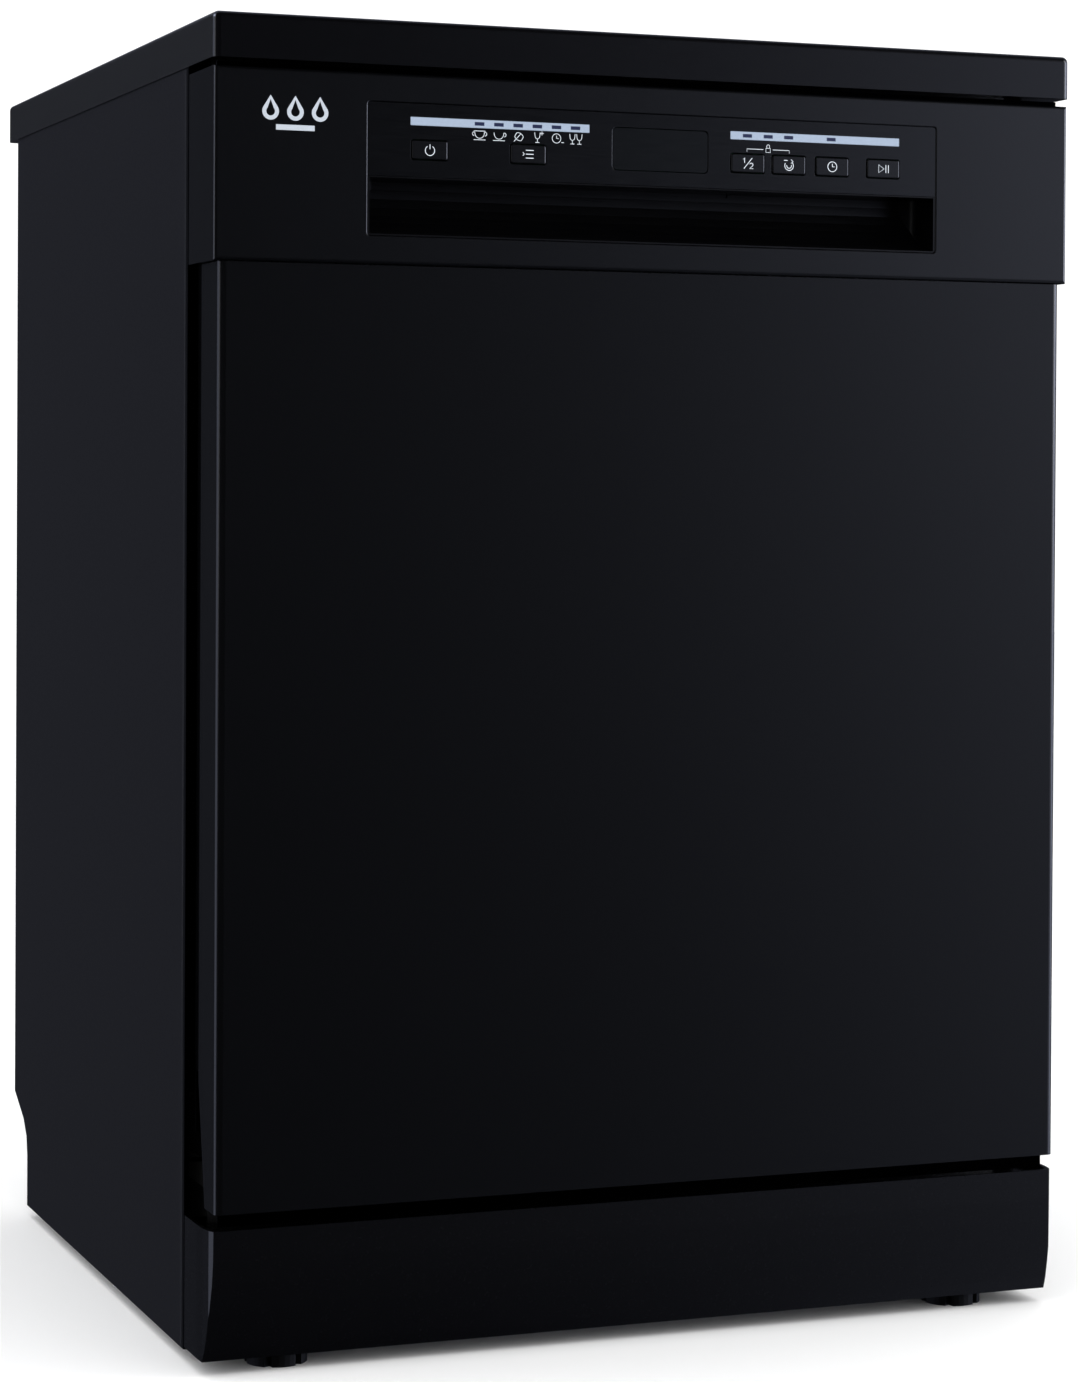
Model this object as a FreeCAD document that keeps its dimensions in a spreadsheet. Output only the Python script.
"""A full-size dishwasher, 598 wide, 598 deep and 850 tall, built as separate pieces.

Frame: millimetres, +Z up, the front faces -Y, +X is to the right as seen from the front.
The origin is on the floor, under the middle of the machine. The door is closed.
"""
import FreeCAD, Part
import math
import os

import Sketcher
from FreeCAD import Placement, Rotation, Vector

doc = FreeCAD.newDocument("Dishwasher")
sheet = doc.addObject("Spreadsheet::Sheet", "Sizes")

DRIVING = {
    # the whole machine
    "overall_wide": 598, "overall_deep": 598, "overall_tall": 850,
    # worktop
    "worktop_thick": 28.5, "trim_wide": 7, "trim_seam": 143, "trim_round": 4.5,
    # cabinet panels, as distances behind the worktop's front edge where they end in _set
    "cabinet_half": 298, "sheet_thick": 1, "flange_wide": 14, "panel_set": 64, "panel_deep": 505,
    "panel_low": 8, "recess_deep": 45, "recess_low": 62, "recess_high": 88, "rear_low": 92,
    # fascia and the control insert in it
    "fascia_gap": 5, "fascia_tall": 120, "fascia_set": 1.5, "fascia_deep": 59.5, "fascia_wall": 2.5,
    "insert_half": 199, "insert_low": 18, "insert_tall": 84, "strip_tall": 46.5, "pocket_deep": 36,
    "insert_set": 2.1, "insert_gap": 0.3, "insert_corner": 2, "pocket_round": 12, "paddle_half": 61.5,
    # buttons, display and indicator windows
    "button_wide": 23.5, "button_tall": 11.8, "button_deep": 6, "button_gap": 0.6,
    "button_proud": 0.9, "button_high": 54.7, "display_wide": 66.4, "display_tall": 26.8,
    "display_high": 60.8, "window_wide": 6.4, "window_tall": 2.2, "window_high": 72.7,
    # door
    "door_half": 294.5, "door_set": 3.5, "door_low": 105, "door_side": 39.5, "door_round": 5,
    "taper_high": 187, "liner_half": 292.5, "liner_step": 264, "liner_low": 164, "liner_high": 786,
    "liner_set": 67,
    # hinge
    "hinge_set": 28.5, "hinge_high": 122, "hinge_arm_in": 285, "pin_radius": 4, "pin_play": 0.06,
    # plinth and feet
    "plinth_low": 10, "plinth_top": 94, "plinth_set": 8, "plinth_wall": 2.5, "plinth_back": 62,
    "foot_side": 241, "foot_front": 50, "foot_rear": 494, "foot_radius": 20, "foot_thick": 8.5,
    "stem_radius": 6, "stem_top": 55,
    # base tray
    "base_half": 282, "base_low": 12, "base_wall": 3, "base_rear": 521, "base_top": 142.6,
    # tub
    "tub_half": 281, "tub_wall": 1.2, "tub_set": 59, "tub_deep": 472, "tub_floor": 144,
    "tub_top": 799, "ledge_half": 260, "ledge_high": 160, "tub_round": 16,
    # wash system, all on the middle plane
    "hub_y": -12, "sump_y": -37, "sump_radius": 85, "cup_y": -62, "cup_radius": 31.5,
    "post_radius": 9, "post_play": 0.06, "arm_reach": 204, "arm_low": 163, "arm_thick": 12,
    "upper_arm_low": 466, "salt_x": -180, "salt_y": -30, "salt_radius": 33,
    # racks
    "wire_radius": 2.2, "rack_half": 254, "rack_reach": 200, "lower_floor": 190, "lower_rim": 325,
    "upper_floor": 512, "upper_rim": 622, "wheel_radius": 20, "roller_radius": 7.6,
    "rail_high": 578,
}


class Size:
    """A number together with the spreadsheet formula that gives it."""

    def __init__(self, value, formula=None):
        self.value = float(value)
        self.formula = formula if formula is not None else repr(float(value))
        self.bound = formula is not None

    def joined(self, other, sign, swap=False):
        other = other if isinstance(other, Size) else Size(other)
        a, b = (other, self) if swap else (self, other)
        results = {"+": a.value + b.value, "-": a.value - b.value, "*": a.value * b.value}
        result = results[sign] if sign in results else a.value / b.value
        return Size(result, f"({a.formula} {sign} {b.formula})")

    def __add__(self, other):
        return self.joined(other, "+")

    def __sub__(self, other):
        return self.joined(other, "-")

    def __mul__(self, other):
        return self.joined(other, "*")

    def __truediv__(self, other):
        return self.joined(other, "/")

    def __radd__(self, other):
        return self.joined(other, "+", swap=True)

    def __rsub__(self, other):
        return self.joined(other, "-", swap=True)

    def __rmul__(self, other):
        return self.joined(other, "*", swap=True)

    def __neg__(self):
        return self.joined(-1, "*")

    def __float__(self):
        return self.value


class Sheet:
    """Reads the spreadsheet's aliases as attributes."""

    def __getattr__(self, alias):
        return Size(sheet.get(alias), f"Sizes.{alias}")


for row, (alias, number) in enumerate(DRIVING.items(), start=1):
    sheet.set(f"A{row}", alias.replace("_", " "))
    sheet.set(f"B{row}", str(number))
    sheet.setAlias(f"B{row}", alias)
doc.recompute()
s = Sheet()

# places that follow from the driving dimensions
FRONT = -s.overall_deep / 2
TOP = s.overall_tall
WORKTOP_LOW = TOP - s.worktop_thick
PANEL_FRONT = FRONT + s.panel_set
PANEL_REAR = PANEL_FRONT + s.panel_deep
FASCIA_TOP = WORKTOP_LOW - s.fascia_gap
FASCIA_LOW = FASCIA_TOP - s.fascia_tall
FASCIA_FRONT = FRONT + s.fascia_set
FASCIA_BACK = FASCIA_FRONT + s.fascia_deep
INSERT_LOW = FASCIA_LOW + s.insert_low
INSERT_TOP = INSERT_LOW + s.insert_tall
INSERT_FRONT = FRONT + s.insert_set
STRIP_LOW = INSERT_TOP - s.strip_tall
DOOR_FRONT = FRONT + s.door_set
DOOR_BACK = DOOR_FRONT + s.door_side
DOOR_TOP = FASCIA_LOW - 0.5
LINER_BACK = FRONT + s.liner_set
HINGE_Y = FRONT + s.hinge_set
TUB_FRONT = FRONT + s.tub_set
TUB_REAR = TUB_FRONT + s.tub_deep
BASE_REAR = FRONT + s.base_rear
PLINTH_FRONT = FRONT + s.plinth_set
PLINTH_BACK = FRONT + s.plinth_back
SIDES = (("left", -1), ("right", 1))
AXES = {
    "x": (Rotation(Vector(1, 1, 1), 120), Vector(1, 0, 0), "yz"),
    "y": (Rotation(Vector(1, 0, 0), 90), Vector(0, 1, 0), "xz"),
    "z": (Rotation(), Vector(0, 0, 1), "xy"),
}

# fixed places: pairs are the two coordinates across the axis a piece points along
REAR_SCREW_X = 290.0
REAR_SCREW_Z = (130.0, 350.0, 570.0, 790.0)
INLET_AT = (205.0, 74.0)
DRAIN_AT = (-215.0, 74.0)
GLAND_AT = (150.0, 60.0)
WASH_PUMP_Z = 76.0
DRAIN_PUMP_Z = 84.0
STRIKE_Z = 804.0
DISPENSER_X = (-96.0, 84.0)
DISPENSER_Z = (346.0, 452.0)
LID_X = (-86.0, 24.0)
LID_PIN = (LINER_BACK + 5.2, DISPENSER_Z[0] + 11)
CAP_AT = (54.0, 399.0)
PADDLE_SLOT_Y = (INSERT_FRONT + 13.6, INSERT_FRONT + 34)
PADDLE_PIN = (INSERT_FRONT + 37.5, STRIP_LOW + 3.5)
LOWER_WHEEL_Y = (-150.0, 118.0)
UPPER_ROLLER_Y = (-120.0, 100.0)
BUTTON_Z = INSERT_LOW + s.button_high
WINDOW_Z = INSERT_LOW + s.window_high
BUTTONS = {
    "power_button": -157.9, "program_button": -91.5, "half_load_button": 61.6,
    "extra_button": 91.05, "delay_button": 122.4, "start_button": 159.8,
}
WINDOW_PITCH = 13.06
WINDOWS = [-124.4 + WINDOW_PITCH * i for i in range(6)] + [61.5, 76.4, 91.1, 122.0]
BAR_SPANS = ((-170.5, -49.5), (49.4, 171.8))
parts = {}


# ---------------------------------------------------------------- helpers

def tie(obj, prop, size):
    """Sets a property, bound to the sheet where the size comes from it."""
    if isinstance(size, Size) and size.bound:
        obj.setExpression(prop, size.formula)
        return
    if "." in prop:
        obj.setExpression(prop, repr(float(size)))
        return
    setattr(obj, prop, float(size))


def block(name, x, y, z):
    """A box between two places on each axis."""
    box = doc.addObject("Part::Box", name)
    for prop, letter, (low, high) in zip(("Length", "Width", "Height"), "xyz", (x, y, z)):
        tie(box, prop, high - low)
        tie(box, f"Placement.Base.{letter}", low)
    return box


def rod(name, radius, axis, span, at):
    """A cylinder along an axis over a span, at the other two coordinates in x, y, z order."""
    cylinder = doc.addObject("Part::Cylinder", name)
    turn = {"x": Rotation(Vector(0, 1, 0), 90), "y": Rotation(Vector(1, 0, 0), -90), "z": Rotation()}
    cylinder.Placement = Placement(Vector(), turn[axis])
    tie(cylinder, "Radius", radius)
    tie(cylinder, "Height", span[1] - span[0])
    for letter, place in zip(AXES[axis][2], at):
        tie(cylinder, f"Placement.Base.{letter}", place)
    tie(cylinder, f"Placement.Base.{axis}", span[0])
    return cylinder


def draw(sketch, points):
    """Draws a closed outline of straight sides and pins every corner with two distances."""
    count = len(points)
    spots = [Vector(float(a), float(b), 0) for a, b in points]
    for i in range(count):
        sketch.addGeometry(Part.LineSegment(spots[i], spots[(i + 1) % count]), False)
    for i in range(count):
        sketch.addConstraint(Sketcher.Constraint("Coincident", i, 2, (i + 1) % count, 1))
    for i, corner in enumerate(points):
        for kind, axis_line, place in zip(("DistanceX", "DistanceY"), (-2, -1), corner):
            if abs(float(place)) < 1e-6:
                sketch.addConstraint(Sketcher.Constraint("PointOnObject", i, 1, axis_line))
                continue
            index = sketch.addConstraint(Sketcher.Constraint(kind, -1, 1, i, 1, float(place)))
            if isinstance(place, Size) and place.bound:
                sketch.setExpression(f"Constraints[{index}]", place.formula)


def prism(name, axis, points, start, end):
    """An outline in the plane across an axis, extruded from start to end along it."""
    turn, direction, _ = AXES[axis]
    sketch = doc.addObject("Sketcher::SketchObject", f"{name}_outline")
    sketch.Placement = Placement(Vector(), turn)
    draw(sketch, points)
    tie(sketch, f"Placement.Base.{axis}", start)
    solid = doc.addObject("Part::Extrusion", name)
    solid.Base = sketch
    solid.DirMode = "Custom"
    solid.Dir = direction
    solid.Solid = True
    tie(solid, "LengthFwd", end - start)
    return solid


def join(name, *shapes):
    """One solid from several."""
    if len(shapes) == 1:
        return shapes[0]
    fused = doc.addObject("Part::MultiFuse", name)
    fused.Shapes = list(shapes)
    fused.Refine = True
    return fused


def cut(name, base, *tools):
    """The base with the tools taken out of it."""
    result = doc.addObject("Part::Cut", name)
    result.Base = base
    result.Tool = group(f"{name}_tools", *tools)
    return result


def group(name, *shapes):
    """Separate solids that share one node."""
    if len(shapes) == 1:
        return shapes[0]
    made = doc.addObject("Part::Compound", name)
    made.Links = list(shapes)
    return made


def rounded(name, base, radius, chosen):
    """Rounds the edges of a shape that a test picks."""
    doc.recompute()
    fillet = doc.addObject("Part::Fillet", name)
    fillet.Base = base
    numbers = [i for i, edge in enumerate(base.Shape.Edges, start=1) if chosen(edge)]
    fillet.Edges = [(i, float(radius), float(radius)) for i in numbers]
    return fillet


def along(edge, axis):
    """Whether a straight edge runs along an axis."""
    if edge.Curve.TypeId != "Part::GeomLine":
        return False
    return abs(abs(edge.Curve.Direction.dot(AXES[axis][1])) - 1) < 1e-6


def middle(edge):
    """The middle of an edge."""
    return edge.valueAt((edge.FirstParameter + edge.LastParameter) / 2)


def keep(label, shape):
    """Names a finished sub-part: its label is its file's name."""
    shape.Label = label
    parts[label] = shape
    return shape


def both_ways(inner, outer, sign):
    """A span on the x axis from an inner to an outer distance, on the side that sign says."""
    return (inner, outer) if sign > 0 else (-outer, -inner)


def rectangle(x, y):
    """The corners of a rectangle, for draw()."""
    return [(x[0], y[0]), (x[1], y[0]), (x[1], y[1]), (x[0], y[1])]


def body_sketch(body, role, offset, points, tag):
    """A sketch on one of a body's own planes, moved along its normal."""
    sketch = body.newObject("Sketcher::SketchObject", f"{body.Name}_{tag}")
    plane = next(f for f in body.Origin.OriginFeatures if f.Role == role)
    sketch.AttachmentSupport = [(plane, "")]
    sketch.MapMode = "FlatFace"
    tie(sketch, "AttachmentOffset.Base.z", offset)
    draw(sketch, points)
    return sketch


def padded_body(name, role, offset, points, length, reverse=False):
    """A PartDesign body that starts as one pad."""
    body = doc.addObject("PartDesign::Body", name)
    pad = body.newObject("PartDesign::Pad", f"{name}_pad")
    pad.Profile = body_sketch(body, role, offset, points, "sketch")
    tie(pad, "Length", length)
    pad.Reversed = reverse
    doc.recompute()
    return body


def body_fillet(body, radius, chosen, tag="fillet"):
    """Rounds edges of a body's last feature."""
    fillet = body.newObject("PartDesign::Fillet", f"{body.Name}_{tag}")
    tip = body.Tip if body.Tip is not fillet else fillet.BaseFeature
    edges = [f"Edge{i}" for i, edge in enumerate(tip.Shape.Edges, start=1) if chosen(edge)]
    fillet.Base = (tip, edges)
    tie(fillet, "Radius", radius)
    doc.recompute()
    return fillet


def revolved_body(name, points, at):
    """A body turned about the vertical through a place; the outline is radius and height."""
    body = doc.addObject("PartDesign::Body", name)
    sketch = body_sketch(body, "XZ_Plane", 0, points, "profile")
    turned = body.newObject("PartDesign::Revolution", f"{name}_turned")
    turned.Profile = sketch
    turned.ReferenceAxis = (sketch, ["V_Axis"])
    turned.Angle = 360
    doc.recompute()
    for letter, place in zip("xy", at):
        tie(body, f"Placement.Base.{letter}", place)
    return body


# ---------------------------------------------------------------- cabinet

def make_worktop():
    """A board held in a plastic edging, which is a front and a rear piece that meet at the sides."""
    half = s.overall_wide / 2
    inner = half - s.trim_wide
    board_low = WORKTOP_LOW + 2.2
    board = padded_body(
        "worktop_board_body", "XY_Plane", board_low,
        rectangle((0.2 - inner, inner - 0.2), (FRONT + s.trim_wide + 0.2, -FRONT - s.trim_wide - 0.2)),
        TOP - board_low - 0.4)
    keep("worktop_board", board)

    outer = block("trim_outer", (-half, half), (FRONT, -FRONT), (WORKTOP_LOW, TOP))
    corners = rounded("trim_corners", outer, s.trim_round, lambda e: along(e, "z"))
    upper = float(TOP) - 0.1
    edges = rounded("trim_edges", corners, s.trim_round - 0.5, lambda e: e.BoundBox.ZMin > upper)
    well_y = (FRONT + s.trim_wide, -FRONT - s.trim_wide)
    well = block("trim_well", (-inner, inner), well_y, (board_low, TOP + 1))
    ledge = inner - 24
    window = block("trim_window", (-ledge, ledge), (-ledge, ledge), (WORKTOP_LOW - 1, TOP))
    seam_at = FRONT + s.trim_seam
    seam_y = (seam_at, seam_at + 0.4)
    seam = block("trim_seam", (-half - 1, half + 1), seam_y, (WORKTOP_LOW - 1, TOP + 1))
    keep("worktop_trim", cut("worktop_trim_cut", edges, well, window, seam))


def make_side_panel(side, sign):
    """A folded sheet tray with a flange all round, cut away at the bottom rear for hoses."""
    outer = s.cabinet_half
    inner = outer - s.flange_wide - s.sheet_thick
    t = s.sheet_thick
    top = WORKTOP_LOW - 0.1

    whole_x = both_ways(inner, outer, sign)
    slot_x = both_ways(inner - 1, outer - 3, sign)
    slot_y = (PANEL_FRONT - 1, PANEL_FRONT + 4)
    tray = block(f"side_{side}_tray", whole_x, (PANEL_FRONT, PANEL_REAR), (s.panel_low, top))
    bend_x, bend_y = sign * float(outer), float(PANEL_FRONT)
    tray = rounded(
        f"side_{side}_bend", tray, t,
        lambda e: along(e, "z") and abs(middle(e).x - bend_x) < 0.1 and abs(middle(e).y - bend_y) < 0.1)
    hollow = block(
        f"side_{side}_hollow", both_ways(inner - 1, outer - t, sign),
        (PANEL_FRONT + t, PANEL_REAR - t), (s.panel_low + t, top - t))
    recess_y = PANEL_REAR - s.recess_deep
    recess = prism(
        f"side_{side}_recess", "x",
        [(recess_y, -5), (PANEL_REAR + 5, -5), (PANEL_REAR + 5, s.recess_high + 2),
         (PANEL_REAR, s.recess_high), (recess_y + 14, s.recess_low + 10), (recess_y + 3, s.recess_low - 2),
         (recess_y, s.recess_low - 16)],
        *both_ways(inner - 5, outer + 5, sign))
    slot = block(f"side_{side}_slot", slot_x, slot_y, (s.hinge_high + 8, s.hinge_high + 50))
    low_slot = block(
        f"side_{side}_hinge_slot", slot_x, slot_y, (s.hinge_high - 30, s.hinge_high + 5.2))
    holes = [
        rod(f"side_{side}_hole_{i}", 2.1, "y", (PANEL_REAR - 4, PANEL_REAR + 1), (sign * REAR_SCREW_X, z))
        for i, z in enumerate(REAR_SCREW_Z)
    ]
    keep(f"side_panel_{side}", cut(f"side_{side}_cut", tray, hollow, recess, slot, low_slot, *holes))


def make_rear_panel():
    """A sheet over the back of the cabinet with two pressed stiffening ribs."""
    half = s.cabinet_half - 2
    rib_half, rib_tall = 240.0, 9.0
    rib_heights = (300.0, 620.0)
    plate = block("rear_plate", (-half, half), (PANEL_REAR, PANEL_REAR + 1), (s.rear_low, WORKTOP_LOW - 4))
    ribs = [
        block(f"rear_rib_{i}", (-rib_half, rib_half), (PANEL_REAR + 0.5, PANEL_REAR + 4),
              (z - rib_tall, z + rib_tall))
        for i, z in enumerate(rib_heights)
    ]
    pressed = [
        block(f"rear_press_{i}", (1 - rib_half, rib_half - 1), (PANEL_REAR - 1, PANEL_REAR + 3),
              (z - rib_tall + 1, z + rib_tall - 1))
        for i, z in enumerate(rib_heights)
    ]
    holes = [
        rod(f"rear_hole_{side}_{i}", 2.1, "y", (PANEL_REAR - 1, PANEL_REAR + 3), (sign * REAR_SCREW_X, z))
        for side, sign in SIDES for i, z in enumerate(REAR_SCREW_Z)
    ]
    keep("rear_panel", cut("rear_cut", join("rear_sheet", plate, *ribs), *pressed, *holes))


def screw(name, axis, sign, seat, at, head_radius=4.0, shank_radius=1.9, shank=6.0):
    """A pan-head screw whose head sits on a face and points along sign times the axis."""
    head = (seat, seat + 2.2) if sign > 0 else (seat - 2.2, seat)
    stem = (seat - shank, seat) if sign > 0 else (seat, seat + shank)
    cap = rod(f"{name}_head", head_radius, axis, head, at)
    slot_span = (head[1] - 0.8, head[1] + 0.5) if sign > 0 else (head[0] - 0.5, head[0] + 0.8)
    spans = {axis: slot_span}
    for letter, place in zip(AXES[axis][2], at):
        wide = 2.4 if letter == AXES[axis][2][0] else 0.5
        spans[letter] = (place - wide, place + wide)
    slot = block(f"{name}_slot", spans["x"], spans["y"], spans["z"])
    pin = rod(f"{name}_stem", shank_radius, axis, stem, at)
    return cut(name, join(f"{name}_blank", cap, pin), slot)


def make_cabinet_screws():
    """The screws that hold the rear panel to the side panels."""
    made = [
        screw(f"rear_screw_{side}_{i}", "y", 1, PANEL_REAR + 1, (sign * REAR_SCREW_X, z))
        for side, sign in SIDES for i, z in enumerate(REAR_SCREW_Z)
    ]
    keep("cabinet_screws", group("cabinet_screws_group", *made))


def plinth_solid(name, inset, low, high, back):
    """A slice of the plinth's form, moved in by an inset: upright at the top, leaning back below."""
    half = s.cabinet_half - inset
    face = PLINTH_FRONT + inset
    corner = [
        (-half, back), (-half, face + 25), (-half + 0.6, face + 12), (-half + 2, face + 4), (-half + 4, face)]
    outline = corner + [(-x, y) for x, y in reversed(corner)]
    plan = prism(f"{name}_plan", "z", outline, low, high)
    lean = [(0, 13.2), (8, 9.6), (20, 6.2), (34, 3.2), (50, 1.2), (64, 0.3), (90, 0)]
    curve = [(face + back_by, s.plinth_low + up) for up, back_by in lean]
    below = (face + 13.2, s.plinth_low - 4)
    section = [(back + 1, s.plinth_low - 4), (back + 1, s.plinth_top + 6), *reversed(curve), below]
    profile = prism(f"{name}_section", "x", section, -s.cabinet_half - 1, s.cabinet_half + 1)
    both = doc.addObject("Part::MultiCommon", f"{name}_both")
    both.Shapes = [plan, profile]
    return both


def make_plinth():
    """The kick plate under the door: a face, two wings back to the side panels and a sunk ledge."""
    low, top = s.plinth_low, s.plinth_top
    shell = plinth_solid("plinth_outer", 0, low, top, PLINTH_BACK)
    hollow = plinth_solid("plinth_inner", s.plinth_wall, low - 3, top + 1, PLINTH_BACK + 3)
    ledge = plinth_solid("plinth_ledge", s.plinth_wall / 2, top - 8.5, top - 6, PLINTH_BACK)
    keep("plinth", join("plinth_joined", cut("plinth_cut", shell, hollow), ledge))


def make_base_tray():
    """The moulded tray under the tub that carries the feet, the pumps and the hinges."""
    half = s.base_half
    w = s.base_wall
    low = s.base_low
    lip_front = FRONT + 26
    wall_front = FRONT + 66
    corners = [
        (side, sign, end, y)
        for side, sign in SIDES for end, y in (("front", FRONT + s.foot_front), ("rear", FRONT + s.foot_rear))
    ]
    walls = [
        block("base_floor", (-half, half), (lip_front, BASE_REAR), (low, low + w)),
        block("base_front", (-half, half), (wall_front, wall_front + w), (low, s.hinge_high - 8)),
        block("base_rear", (-half, half), (BASE_REAR - w, BASE_REAR), (low, s.base_top)),
        block("base_lip", (-half + 30, half - 30), (lip_front, lip_front + w), (low, low + 18)),
    ]
    for side, sign in SIDES:
        x = both_ways(half - w, half, sign)
        walls.append(block(f"base_wall_{side}", x, (wall_front, BASE_REAR), (low, s.base_top)))
    for side, sign, end, y in corners:
        walls.append(rod(f"base_boss_{side}_{end}", 15.5, "z", (low, low + 48), (sign * s.foot_side, y)))
    tray = join("base_blank", *walls)
    thread = s.stem_radius + 0.08
    holes = [
        rod(f"base_thread_{side}_{end}", thread, "z", (low - 1, low + 60), (sign * s.foot_side, y))
        for side, sign, end, y in corners
    ]
    for tag, radius, place in (("inlet", 14.0, INLET_AT), ("drain", 11.5, DRAIN_AT), ("gland", 7.6, GLAND_AT)):
        holes.append(rod(f"base_{tag}_hole", radius, "y", (BASE_REAR - 8, BASE_REAR + 1), place))
    keep("base_tray", cut("base_cut", tray, *holes))


def make_foot(name, sign, y):
    """A levelling foot: a notched pad on a stem that screws into the base tray."""
    body = padded_body(
        f"{name}_body", "XY_Plane", 0,
        [(s.foot_radius * math.cos(a), s.foot_radius * math.sin(a))
         for a in (math.radians(10 * i) for i in range(36))], s.foot_thick)
    body_fillet(body, 1.6, lambda e: abs(middle(e).z - float(s.foot_thick)) < 0.01)
    notch = body.newObject("PartDesign::Pocket", f"{name}_notch")
    reach = s.foot_radius
    notch.Profile = body_sketch(
        body, "XY_Plane", 0,
        [(reach - 4, 0), (reach + 2, -4.2), (reach + 2, 4.2)], "notch_sketch")
    tie(notch, "Length", s.foot_thick + 1)
    notch.Reversed = True
    doc.recompute()
    pattern = body.newObject("PartDesign::PolarPattern", f"{name}_notches")
    pattern.Originals = [notch]
    pattern.Axis = (notch.Profile[0], ["N_Axis"])
    pattern.Angle = 360
    pattern.Occurrences = 6
    body.Tip = pattern
    doc.recompute()
    for letter, place in zip("xy", (sign * s.foot_side, y)):
        tie(body, f"Placement.Base.{letter}", place)
    stem_z = (s.foot_thick - 1, s.stem_top)
    stem = rod(f"{name}_stem", s.stem_radius, "z", stem_z, (sign * s.foot_side, y))
    keep(name, join(f"{name}_joined", body, stem))


def make_feet():
    """The four levelling feet."""
    for side, sign in SIDES:
        make_foot(f"front_foot_{side}", sign, FRONT + s.foot_front)
        make_foot(f"rear_foot_{side}", sign, FRONT + s.foot_rear)


# ---------------------------------------------------------------- tub

def make_tub():
    """The stainless wash tub: open at the front, with a ledge each side for the lower rack's wheels."""
    t = s.tub_wall

    def section(grow):
        wide, ledge = s.tub_half - t + grow, s.ledge_half + grow
        return [
            (-ledge, s.tub_floor - grow), (ledge, s.tub_floor - grow), (ledge, s.ledge_high - grow),
            (wide, s.ledge_high - grow), (wide, s.tub_top + grow), (-wide, s.tub_top + grow),
            (-wide, s.ledge_high - grow), (-ledge, s.ledge_high - grow)]

    outside = prism("tub_outside", "y", section(t), TUB_FRONT, TUB_REAR)
    inside = prism("tub_inside", "y", section(0), TUB_FRONT - 1, TUB_REAR - t)
    top = float(s.tub_top) - 1
    through = (s.tub_floor - 5, s.tub_floor + 5)

    def upper(edge):
        return along(edge, "y") and middle(edge).z > top

    outside = rounded("tub_outside_round", outside, s.tub_round + t, upper)
    inside = rounded("tub_inside_round", inside, s.tub_round, upper)
    well = rod("tub_well", s.sump_radius - 8, "z", through, (0, s.sump_y))
    salt = rod("tub_salt_hole", s.salt_radius - 3, "z", through, (s.salt_x, s.salt_y))
    keep("tub", cut("tub_cut", outside, inside, well, salt))


def make_top_crossbar():
    """A channel across the front over the tub, which joins the side panels and holds the strike."""
    high = WORKTOP_LOW - 1.5
    low = s.tub_top + s.tub_wall + 0.6
    half = s.cabinet_half - s.flange_wide - s.sheet_thick - 0.5
    y = (TUB_FRONT + 4, TUB_FRONT + 34)
    wall = 1.5
    bar = block("crossbar_blank", (-half, half), y, (low, high))
    hollow = block(
        "crossbar_hollow", (-half - 1, half + 1), (y[0] + wall, y[1] + 1), (low + wall, high - wall))
    keep("top_crossbar", cut("crossbar_cut", bar, hollow))


def make_gasket():
    """The door seal inside the tub's mouth: up both sides and over the top."""
    wide = s.tub_half - s.tub_wall - 0.3
    top = s.tub_top - 0.3
    low = s.ledge_high + 4
    bead = 10.5
    outline = [
        (-wide, low), (-wide + bead, low), (-wide + bead, top - bead), (wide - bead, top - bead),
        (wide - bead, low), (wide, low), (wide, top), (-wide, top)]
    strip = prism("gasket_strip", "y", outline, TUB_FRONT + 1, TUB_FRONT + 10)
    high, front, inner = float(top) - 0.1, float(TUB_FRONT) + 1.1, float(wide) - 5
    corner = rounded(
        "gasket_corner", strip, s.tub_round + 1, lambda e: along(e, "y") and middle(e).z > high)
    keep("door_gasket", rounded(
        "gasket_bead", corner, 2.5,
        lambda e: e.BoundBox.YMax < front and along(e, "z") and abs(middle(e).x) < inner))


def make_rack_rails():
    """The two channels on the tub's sides that the upper rack's rollers run in."""
    wall = s.tub_half - s.tub_wall - 0.1
    deep = 12.0
    low, high = s.rail_high - s.roller_radius - 0.4, s.rail_high + s.roller_radius + 0.4
    made = []
    for side, sign in SIDES:
        bar = block(
            f"rail_{side}_bar", both_ways(wall - deep, wall, sign), (-205.0, 215.0), (low - 3, high + 3))
        groove = block(
            f"rail_{side}_groove", both_ways(wall - deep - 1, wall - 3, sign), (-206.0, 212.0), (low, high))
        made.append(cut(f"rail_{side}", bar, groove))
    keep("rack_rails", group("rack_rails_group", *made))


# ---------------------------------------------------------------- wash system

def make_sump():
    """The bowl under the tub that gathers the water for both pumps."""
    r = s.sump_radius
    top = s.tub_floor - s.tub_wall - 0.1
    profile = [
        (0, 72), (r - 14, 72), (r - 4, 92), (r - 4, top - 3), (r + 8, top - 3),
        (r + 8, top), (r - 8, top), (r - 8, 94), (r - 17, 76), (0, 76)]
    bowl = revolved_body("sump_bowl", profile, (0, s.sump_y))
    outlets = [
        rod("sump_wash_outlet", 17.0, "x", (60.0, 100.0), (s.sump_y, 100)),
        rod("sump_drain_outlet", 11.0, "x", (-110.0, -60.0), (s.sump_y, 92)),
    ]
    bores = [
        rod("sump_wash_bore", 14.0, "x", (55.0, 101.0), (s.sump_y, 100)),
        rod("sump_drain_bore", 8.0, "x", (-111.0, -55.0), (s.sump_y, 92)),
    ]
    keep("sump", cut("sump_cut", join("sump_blank", bowl, *outlets), *bores))


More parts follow.
